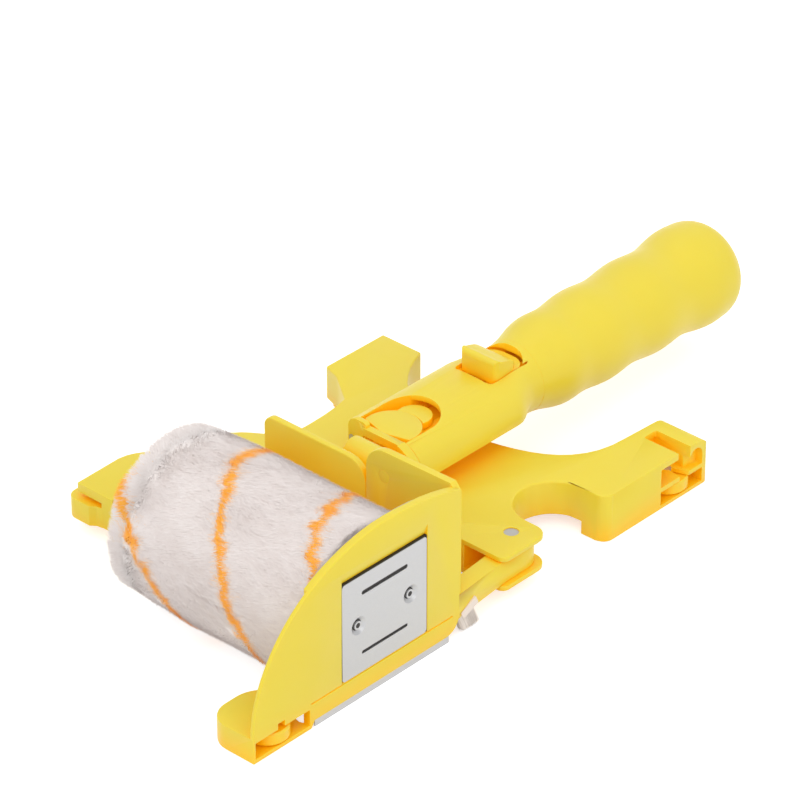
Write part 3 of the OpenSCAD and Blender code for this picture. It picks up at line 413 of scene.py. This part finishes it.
# How far each sharp edge can be rounded. An edge of length n whose corners in a face turn by s and t is
# used up when the rounding eats n / (tan(s/2) + tan(t/2)) into that face. A face of many corners also gives
# no more than twice its area over its outline. Returns the weights, and which sharp edges stay sharp.
def edgeWeights(mesh, radius):
    edgeCount, faceCount = len(mesh.edges), len(mesh.polygons)
    wideOpen, straight, steepest = 1.0, 0.02, 2.6
    co = readAll(mesh.vertices, "co", wide=3)
    ends = readAll(mesh.edges, "vertices", np.int32, 2)
    length = np.linalg.norm(co[ends[:, 1]] - co[ends[:, 0]], axis=1)
    start = readAll(mesh.polygons, "loop_start", np.int32)
    total = readAll(mesh.polygons, "loop_total", np.int32)
    normal, area = readAll(mesh.polygons, "normal", wide=3), readAll(mesh.polygons, "area")
    corner, edge = readAll(mesh.loops, "vertex_index", np.int32), readAll(mesh.loops, "edge_index", np.int32)
    face = np.repeat(np.arange(faceCount), total)
    after = start[face] + (np.arange(len(edge)) - start[face] + 1) % total[face]

    # tan(s/2) at the corner where each edge starts, positive where the outline turns inwards
    along = co[corner[after]] - co[corner]
    along /= np.linalg.norm(along, axis=1, keepdims=True) + 1e-12
    cross = np.einsum("ij,ij->i", np.cross(along, along[after]), normal[face])
    dot = np.einsum("ij,ij->i", along, along[after])
    turn = np.zeros(len(edge))
    turn[after] = np.tan(np.clip(np.arctan2(cross, dot), -steepest, steepest) / 2)
    used = np.maximum(turn, 0) + np.maximum(turn[after], 0)

    outline = np.bincount(face, length[edge], minlength=faceCount)
    across = np.where(total >= bevel["manyCorners"], area / outline, wideOpen)
    limit = np.full(edgeCount, wideOpen)
    room = np.where(used > straight, length[edge] / np.maximum(used, straight), wideOpen)
    np.minimum.at(limit, edge, room)
    np.minimum.at(limit, edge, 2 * across[face])

    # the two faces of each edge, and whether they turn enough
    order = np.argsort(edge, kind="stable")
    sides = np.bincount(edge, minlength=edgeCount)
    first = np.concatenate([[0], np.cumsum(sides)[:-1]])
    pair = np.flatnonzero(sides == 2)
    a, b = face[order[first[pair]]], face[order[first[pair] + 1]]
    bent = np.zeros(edgeCount, bool)
    bent[pair] = np.einsum("ij,ij->i", normal[a], normal[b]) < math.cos(math.radians(bevel["angle"]))
    limit[~bent] = wideOpen
    for _ in range(bevel["spread"]):
        np.minimum.at(limit, edge, bevel["growth"] * limit[edge[after]])
        np.minimum.at(limit, edge[after], bevel["growth"] * limit[edge])
    reach = np.where(bent, np.minimum(radius, bevel["share"] * limit), 0)
    reach[reach < bevel["least"]] = 0
    return (reach / radius).astype(np.float32), bent & (reach == 0)


# A copy of a CAD node whose flat faces are joined up and whose sharp edges are rounded.
def softened(node, body, radius):
    mesh = nodes[node].data.copy()
    b = bmesh.new()
    b.from_mesh(mesh)
    bmesh.ops.remove_doubles(b, verts=b.verts, dist=bevel["weld"])
    bmesh.ops.dissolve_limit(b, angle_limit=math.radians(bevel["flat"]), verts=b.verts, edges=b.edges)
    bmesh.ops.dissolve_degenerate(b, edges=b.edges, dist=bevel["weld"])
    for face in b.faces:
        face.smooth = True
    b.to_mesh(mesh)
    b.free()
    weights, sharp = edgeWeights(mesh, radius)
    mesh.attributes.new("bevel_weight_edge", "FLOAT", "EDGE").data.foreach_set("value", weights)
    mesh.edges.foreach_set("use_edge_sharp", sharp)
    piece = bpy.data.objects.new("soft_" + node, mesh)
    scene.collection.objects.link(piece)
    edge = piece.modifiers.new("softEdges", "BEVEL")
    edge.width, edge.segments = radius, bevel["segments"]
    edge.limit_method = "WEIGHT"
    edge.use_clamp_overlap = False
    edge.loop_slide = False
    edge.harden_normals = True
    mesh.materials.clear()
    mesh.materials.append(yellow)
    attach(piece, body)
    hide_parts(node)


for nodeName, (bodyName, edgeRadius) in softEdges.items():
    softened(nodeName, bodyName, edgeRadius)
print("moulded pieces softened")

slotFinish = {"moulding": yellow, "steel": steel, "pile": yarn, "tube": pale, "bristle": nylon}
slotOf = {s["node"]: s["material_slot"] for s in frame["record"]["subparts"]}
for nodeName, node in nodes.items():
    if nodeName in softEdges:
        continue
    node.data.materials.clear()
    node.data.materials.append(slotFinish[slotOf[nodeName]])


# points is an n by 3 array and faces a list of index arrays, each with one row per face of that many corners.
def meshPiece(name, points, faces, body, finish, normals=None, values=None, smooth=True):
    loops = np.concatenate([f.reshape(-1) for f in faces]).astype(np.int32)
    counts = np.concatenate([np.full(len(f), f.shape[1], np.int32) for f in faces])
    starts = np.concatenate([[0], np.cumsum(counts)[:-1]]).astype(np.int32)
    mesh = bpy.data.meshes.new(name)
    mesh.vertices.add(len(points))
    mesh.vertices.foreach_set("co", np.ascontiguousarray(points, np.float32).ravel())
    mesh.loops.add(len(loops))
    mesh.loops.foreach_set("vertex_index", loops)
    mesh.polygons.add(len(counts))
    mesh.polygons.foreach_set("loop_start", starts)
    mesh.polygons.foreach_set("use_smooth", np.full(len(counts), smooth))
    for key, array in (values or {}).items():
        mesh.attributes.new(key, "FLOAT", "POINT").data.foreach_set("value", np.asarray(array, np.float32))
    mesh.update(calc_edges=True)
    mesh.validate()
    if normals is not None:
        mesh.normals_split_custom_set_from_vertices(normals.astype(np.float32))
    mesh.materials.append(finish)
    piece = bpy.data.objects.new(name, mesh)
    scene.collection.objects.link(piece)
    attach(piece, body)
    return piece


# Quads of a grid of points stored row after row.
def gridFaces(rows, columns, wrapRows=False, wrapColumns=False):
    i = np.arange(rows if wrapRows else rows - 1)[:, None]
    j = np.arange(columns if wrapColumns else columns - 1)[None, :]
    a = i * columns + j
    b = i * columns + (j + 1) % columns
    c = ((i + 1) % rows) * columns + (j + 1) % columns
    d = ((i + 1) % rows) * columns + j
    return np.stack([a, b, c, d], -1).reshape(-1, 4)


# A smooth random field, the sum of sine waves in random directions between two frequencies.
def softNoise(u, v, seed, waves, low, high):
    r = np.random.default_rng(seed)
    total = np.zeros(np.broadcast(u, v).shape)
    for _ in range(waves):
        turn, speed, shift = r.uniform(0, 2 * np.pi), r.uniform(low, high), r.uniform(0, 2 * np.pi)
        total += np.sin((u * np.cos(turn) + v * np.sin(turn)) * speed + shift)
    return total / np.sqrt(waves)


# Lengths in mm, angles in degrees
pile = {
    "length": 5.6,                # of a fibre
    "width": 0.15,
    "batches": 5,
    "perBatch": 62000,
    "firstSeed": 50,
    "lean": 56,
    "rootDepth": 2.9,
    "most": 0.25,                 # how far tips may stand past the sleeve's radius
    "overhang": (1.1, 2.4),       # how far fibres may pass the sleeve's two ends
    "flareLength": (5, 12),       # from each end, where fibres turn outwards
    "flare": 0.85,
    "groundDepth": 1.5,
    "groundRound": 7.0,
    "groundRough": 0.22,
    "groundGrid": (120, 220),
    # painted shade: the ground is toned as dark as the fibre roots, and darker still inside the tube
    "groundTone": (0.8, 0.5),     # outside, and inside the tube
    "stripeSpacing": 38.0,
    "stripeStart": 34.3,          # along the roller, at angle 0
    "stripeClimb": 0.2111,        # along the roller for each degree
    "stripeWidth": 1.15,
    "feather": (3.2, 0.34),       # reach in stripe widths, and share of the fibres there
    # how far the yarn strays along the roller at these angles
    "strayAngles": (-180, -24, 19, 48, 75, 120, 180),
    "strays": (-2.0, -5.0, -4.6, -2.2, 0.7, -1.2, -2.0),
    "strayRadius": 30,
}
# where a fibre's three stations are, how wide it is there, and its tone from root to tip, darker at the root
# as painted shade deep in the pile
stations = (0.25, 0.65, 1.0)
midWidth = 0.85
toneAlong = (0.8, 0.8, 0.95, 0.95, 1.0)


# How far a point is from the nearest orange yarn. The yarns wind round the roller and stray a little.
def stripeOffset(angle, along):
    wrapped = (angle + 180) % 360 - 180
    arc = np.radians(angle) * pile["strayRadius"]
    jagged, slow = softNoise(arc, along, 21, 8, 0.5, 1.8), softNoise(arc, along, 22, 5, 0.10, 0.22)
    stray = np.interp(wrapped, pile["strayAngles"], pile["strays"]) + 0.65 * jagged + 0.9 * slow
    line = (along - pile["stripeStart"] - pile["stripeClimb"] * wrapped - stray) / pile["stripeSpacing"]
    return (line - np.round(line)) * pile["stripeSpacing"]


sleeveLow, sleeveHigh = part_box("roller_sleeve")
coreLow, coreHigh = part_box("roller_core")
sleeve = {
    "x": (sleeveLow.x + sleeveHigh.x) / 2 / mm,
    "z": (sleeveLow.z + sleeveHigh.z) / 2 / mm,
    "radius": (sleeveHigh.z - sleeveLow.z) / 2 / mm,
    "start": sleeveLow.y / mm,
    "width": sleeveHigh.y / mm - sleeveLow.y / mm,
    "bore": (coreHigh.z - coreLow.z) / 2 / mm,
}


# Points round the roller's axis: x = axis - r cos(angle), z = axis + r sin(angle), y = start + along.
def roundAxis(r, angle, along):
    parts = sleeve["x"] - r * np.cos(angle), sleeve["start"] + along, sleeve["z"] + r * np.sin(angle)
    return np.stack(np.broadcast_arrays(*parts), -1)


# Felted ground under the fibres: a rough tube with rounded ends, closed to the sleeve's bore.
def buildPileGround():
    rows, columns = pile["groundGrid"]
    width, bow = sleeve["width"], pile["groundRound"]
    angle = np.linspace(0, 2 * np.pi, columns, endpoint=False)[None, :]
    ground = sleeve["radius"] - pile["groundDepth"]
    along = np.linspace(0, 1, rows)[:, None] * width
    fromEnd = np.minimum(along, width - along)
    drop = bow - np.sqrt(np.maximum(bow ** 2 - np.maximum(bow - fromEnd, 0) ** 2, 0))
    rough = pile["groundRough"] * softNoise(angle * ground, along + 0 * angle, 3, 14, 0.4, 1.1)
    r = ground - drop + rough * np.minimum(1, fromEnd / 3)
    rings = [roundAxis(r, angle, along).reshape(-1, 3)]
    for y in (width, 0):
        rings.append(roundAxis(sleeve["bore"], angle[0], y))
    off = np.abs(stripeOffset(np.degrees(angle) + 0 * along, along + 0 * angle))
    tint = np.clip(1.6 - off / pile["stripeWidth"], 0, 1)
    outer, inner = pile["groundTone"]
    values = {"tint": np.concatenate([tint.ravel(), np.zeros(2 * columns)]),
              "tone": np.concatenate([np.full(rows * columns, outer), np.full(2 * columns, inner)])}
    faces = gridFaces(rows + 2, columns, wrapRows=True, wrapColumns=True)
    base = meshPiece("pileGround", np.concatenate(rings) * mm, [faces], "roller", yarn, values=values)
    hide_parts("roller_sleeve")


# Each fibre is a ribbon of one quad and one triangle that leaves its root upright and lies down to its tip.
# The nap lies towards the guard and a little up, turns from tuft to tuft, and flares at the sleeve's ends.
def growFibres(batch):
    r = np.random.default_rng(pile["firstSeed"] + batch)
    n, width, radius = pile["perBatch"], sleeve["width"], sleeve["radius"]
    a = r.uniform(0, 360, n)
    s = r.uniform(0.4, width - 0.4, n)
    turned = np.radians(a)
    arc = turned * radius
    lie = softNoise(arc, s, 7, 10, 0.10, 0.30)
    tuft = softNoise(arc, s, 8, 16, 0.8, 1.8)
    bend = np.radians(14 * lie + 9 * tuft + r.normal(0, 8, n))
    nearFlare, farFlare = pile["flareLength"]
    flare = np.clip(1 - (width - s) / farFlare, 0, 1) - np.clip(1 - s / nearFlare, 0, 1)
    lean = np.radians(pile["lean"] + 5 * lie + r.normal(0, 6, n))
    up, side = np.cos(lean), np.sin(lean)
    alongLean = side * -np.cos(bend) * (1 - np.abs(flare)) + pile["flare"] * flare
    roundLean = side * (np.sin(bend) + 0.15)
    length = pile["length"] * r.uniform(0.8, 1.05, n)
    root = radius - pile["rootDepth"] - 1.1 * np.abs(flare) ** 2 - 0.15 * np.abs(tuft)

    off = np.abs(stripeOffset(a, s))
    ragged = 1 + 0.35 * softNoise(arc, s, 23, 6, 0.4, 1.2)
    wide = pile["stripeWidth"] * ragged * r.uniform(0.55, 1.15, n)
    tinted = ((off < wide) & (r.uniform(0, 1, n) > 0.06)).astype(float)
    featherReach, featherShare = pile["feather"]
    feather = (off < featherReach * wide) & (r.uniform(0, 1, n) < featherShare)
    length = length * (1 + 0.35 * tinted * r.uniform(0, 1, n))
    tinted = np.where(feather, np.maximum(tinted, r.uniform(0.15, 0.6, n)), tinted)
    tone = np.clip(0.82 + 0.07 * tuft + 0.05 * lie + r.normal(0, 0.09, n), 0, 1)

    # the fibre's middle line at a share k of its length
    def spine(k):
        reach = length * k
        out = reach * (up * (1 - 0.25 * k) + 0.35 * (1 - k))
        laid = reach * (0.45 + 0.55 * k)
        y = np.clip(s + laid * alongLean, -pile["overhang"][0], width + pile["overhang"][1])
        return roundAxis(np.minimum(root + out, radius + pile["most"]), turned + laid * roundLean / radius, y)

    p0, p1, p2 = [spine(k) for k in stations]
    outward = np.stack([-np.cos(turned), 0 * a, np.sin(turned)], -1)
    across = np.cross(p2 - p0, outward)
    across /= np.linalg.norm(across, axis=1, keepdims=True) + 1e-9
    half = across * (pile["width"] / 2 * r.uniform(0.8, 1.3, (n, 1)))
    points = np.stack([p0 - half, p0 + half, p1 - half * midWidth, p1 + half * midWidth, p2], 1)
    points[..., 2] = np.maximum(points[..., 2], 0.05)      # above the floor
    each = points.shape[1]
    k = np.arange(n)[:, None] * each
    faces = [k + np.array([[0, 1, 3, 2]]), k + np.array([[2, 3, 4]])]
    normals = outward + 0.16 * (p2 - p0) / pile["length"] + r.normal(0, 0.07, (n, 3))
    normals[:, 1] -= 0.12 * np.abs(flare)
    normals /= np.linalg.norm(normals, axis=1, keepdims=True)
    values = {"tint": np.repeat(tinted, each), "tone": np.repeat(tone, each) * np.tile(toneAlong, n)}
    meshPiece("pileFibres%d" % (batch + 1), points.reshape(-1, 3) * mm, faces, "roller", yarn,
              normals=np.repeat(normals, each, axis=0), values=values)


buildPileGround()
for batch in range(pile["batches"]):
    growFibres(batch)
print("roller pile grown")

# The guard's nose on the painted surface, which the small pieces of the head are placed from, in mm.
nose = [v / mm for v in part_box("guard")[0]]


# A block between two corners given in mm from the guard's nose.
def block(name, low, high, finish):
    xs, ys, zs = zip(low, high)
    corners = np.array([[x, y, z] for x in xs for y in ys for z in zs])
    faces = np.array([[0, 1, 3, 2], [4, 6, 7, 5], [0, 4, 5, 1], [2, 3, 7, 6], [0, 2, 6, 4], [1, 5, 7, 3]])
    meshPiece(name, (corners + nose) * mm, [faces], "head", finish, smooth=False)


# Lengths in mm from the guard's nose; depths run into the guard from its outer face.
plate = {
    "left": 39.5,
    "width": 38.3,
    "low": 9.3,
    "height": 35.9,
    "front": 0.1,
    "back": 1.28,
    "slot": (8.0, 30.4),             # ends of the shade behind each slot, from the plate's left
    "slotHeights": (7.3, 29.3),      # from the plate's lower edge
    "slotHalf": 1.2,
    "slotDepth": 0.5,
    "gap": 0.28,
    "gapDepth": 0.3,
    "screws": (46.9, 70.5),
    "screwHeight": 27.25,
    "sink": (3.2, 2.0, 1.0),         # radius at the surface, radius at the bottom, depth
    "sinkStart": 0.5,                # how far in front of the surface the cutting cones start
    "seat": (1.98, 1.08),            # radius and depth
    "socket": (0.9, 0.38),
}


# Cones that cut the screws' hollows, wide end outwards and a little in front of the plate.
def sinkCones():
    wide, narrow, deep = plate["sink"]
    over = plate["sinkStart"]
    slope = (wide - narrow) / deep
    b = bmesh.new()
    for x in plate["screws"]:
        centre = Vector([x, plate["front"] + (deep - over) / 2, plate["screwHeight"]]) + Vector(nose)
        place = Matrix.Translation(centre * mm) @ Matrix.Rotation(-math.pi / 2, 4, "X")
        bmesh.ops.create_cone(b, cap_ends=True, segments=48, radius1=(wide + slope * over) * mm,
                              radius2=narrow * mm, depth=(deep + over) * mm, matrix=place)
    mesh = bpy.data.meshes.new("cones")
    b.to_mesh(mesh)
    b.free()
    cones = bpy.data.objects.new("cones", mesh)
    scene.collection.objects.link(cones)
    return cones


# The clamp plate with its screws let into cone-shaped hollows.
def buildPlate():
    soft = bpy.data.objects.new("plateCopy", nodes["clamp_plate"].data.copy())
    scene.collection.objects.link(soft)
    cones = sinkCones()
    cut = soft.modifiers.new("cut", "BOOLEAN")
    cut.operation, cut.solver, cut.object = "DIFFERENCE", "EXACT", cones
    bpy.context.view_layer.update()
    shaped = bpy.data.meshes.new_from_object(soft.evaluated_get(bpy.context.evaluated_depsgraph_get()))
    for spent in (soft, cones):
        bpy.data.objects.remove(spent)
    shaped.materials.clear()
    shaped.materials.append(plateSteel)
    piece = bpy.data.objects.new("sunkPlate", shaped)
    scene.collection.objects.link(piece)
    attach(piece, "head")
    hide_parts("clamp_plate")


# Painted shade: dark pieces behind the two slots and in the gap on three sides of the plate.
def shadePlate():
    left, low = plate["left"], plate["low"]
    right, top, gap, back = left + plate["width"], low + plate["height"], plate["gap"], plate["back"]
    x0, x1 = [left + end for end in plate["slot"]]
    for k, height in enumerate(plate["slotHeights"]):
        z, half = low + height, plate["slotHalf"]
        block("slotShade%d" % (k + 1), (x0, plate["slotDepth"], z - half), (x1, back, z + half), shadow)
    foot = low + 0.02
    sides = [(left - gap, foot, left, top), (right, foot, right + gap, top),
             (left - gap, top, right + gap, top + gap)]
    for k, (a, c, b, d) in enumerate(sides):
        block("gapShade%d" % (k + 1), (a, plate["gapDepth"], c), (b, back, d), shadow)


# Painted shade: dark discs that face out, in each screw's socket and at the bottom of its hollow.
def shadeScrews():
    turn = np.linspace(0, 2 * np.pi, 24, endpoint=False)
    for k, x in enumerate(plate["screws"]):
        for name in ("Socket", "Seat"):
            radius, depth = plate[name.lower()]
            height = plate["screwHeight"] + radius * np.sin(turn)
            ring = np.stack([x + radius * np.cos(turn), np.full(len(turn), depth), height], -1)
            face = np.arange(len(turn))[None, :]
            meshPiece("screw%s%d" % (name, k + 1), (ring + nose) * mm, [face], "head", shadow,
                      smooth=False)


buildPlate()
shadePlate()
shadeScrews()

# The edge of the steel sheet that shows below the guard's band: two corners in mm from the guard's nose
sheetEdge = (27.0, 0.08, 0.02), (88.3, 0.58, 3.2)
block("sheetEdge", *sheetEdge, plateSteel)
print("plate and sheet edge made")

# Lengths in mm, angles in degrees
brush = {
    "start": (91.9, 0.6, 9.2),    # corner of the tuft's top from the guard's nose
    "size": (7.6, 1.5),           # of its top, along the guard and into it
    "length": 9.6,
    "ragged": 0.5,
    "roundedEnd": 0.6,
    "lean": 22,
    "fan": 2.5,
    "strands": 700,
    "thick": 0.16,
    "floor": 0.03,                # strands end at least this high
}


# A tuft of straight three-sided strands that lean along the guard by the angle lean from upright.
def buildBrush():
    n = brush["strands"]
    u, v = rng.uniform(0, 1, n), rng.uniform(0, 1, n)
    top = np.array(brush["start"]) + np.stack([u * brush["size"][0], v * brush["size"][1], 0 * u], -1)
    lean = np.radians(brush["lean"] + brush["fan"] * (u - 0.5) + rng.normal(0, 0.7, n))
    splay = rng.normal(0, 0.02, n) + 0.03 * (v - 0.5)
    length = brush["length"] - rng.uniform(0, brush["ragged"], n) - brush["roundedEnd"] * (2 * u - 1) ** 4
    run = np.stack([np.sin(lean), splay, -np.cos(lean)], -1)
    length = np.minimum(length, (top[:, 2] - 0.05) / np.cos(lean))
    corners = np.array([0, 2 * np.pi / 3, 4 * np.pi / 3])[None, :] + rng.uniform(0, 2, n)[:, None]
    ring = np.stack([np.cos(corners), np.sin(corners), 0 * corners], -1) * brush["thick"] / 2
    upper = top[:, None, :] + ring
    lower = upper + (run * length[:, None])[:, None, :]
    lower[..., 2] = np.maximum(lower[..., 2], brush["floor"])
    points = np.concatenate([upper, lower], 1).reshape(-1, 3)
    each = 6
    k = np.arange(n)[:, None] * each
    sides = np.concatenate([k + np.array([[a, a + 3, (a + 1) % 3 + 3, (a + 1) % 3]]) for a in range(3)])
    ends = np.concatenate([k + np.array([[0, 1, 2]]), k + np.array([[5, 4, 3]])])
    tone = np.repeat(rng.uniform(0.2, 1, n), each)
    # the tuft is lit as one surface that faces out of the guard and a little up
    facing = np.stack([0.5 * (u - 0.5) + rng.normal(0, 0.12, n), -1.0 + 0 * u, 0.35 + 0 * u], -1)
    facing = np.repeat(facing / np.linalg.norm(facing, axis=1, keepdims=True), each, axis=0)
    piece = meshPiece("brushStrands", (points + nose) * mm, [sides, ends], "head", nylon,
                      normals=facing, values={"tone": tone})
    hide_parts("corner_brush")


buildBrush()
print("brush made")
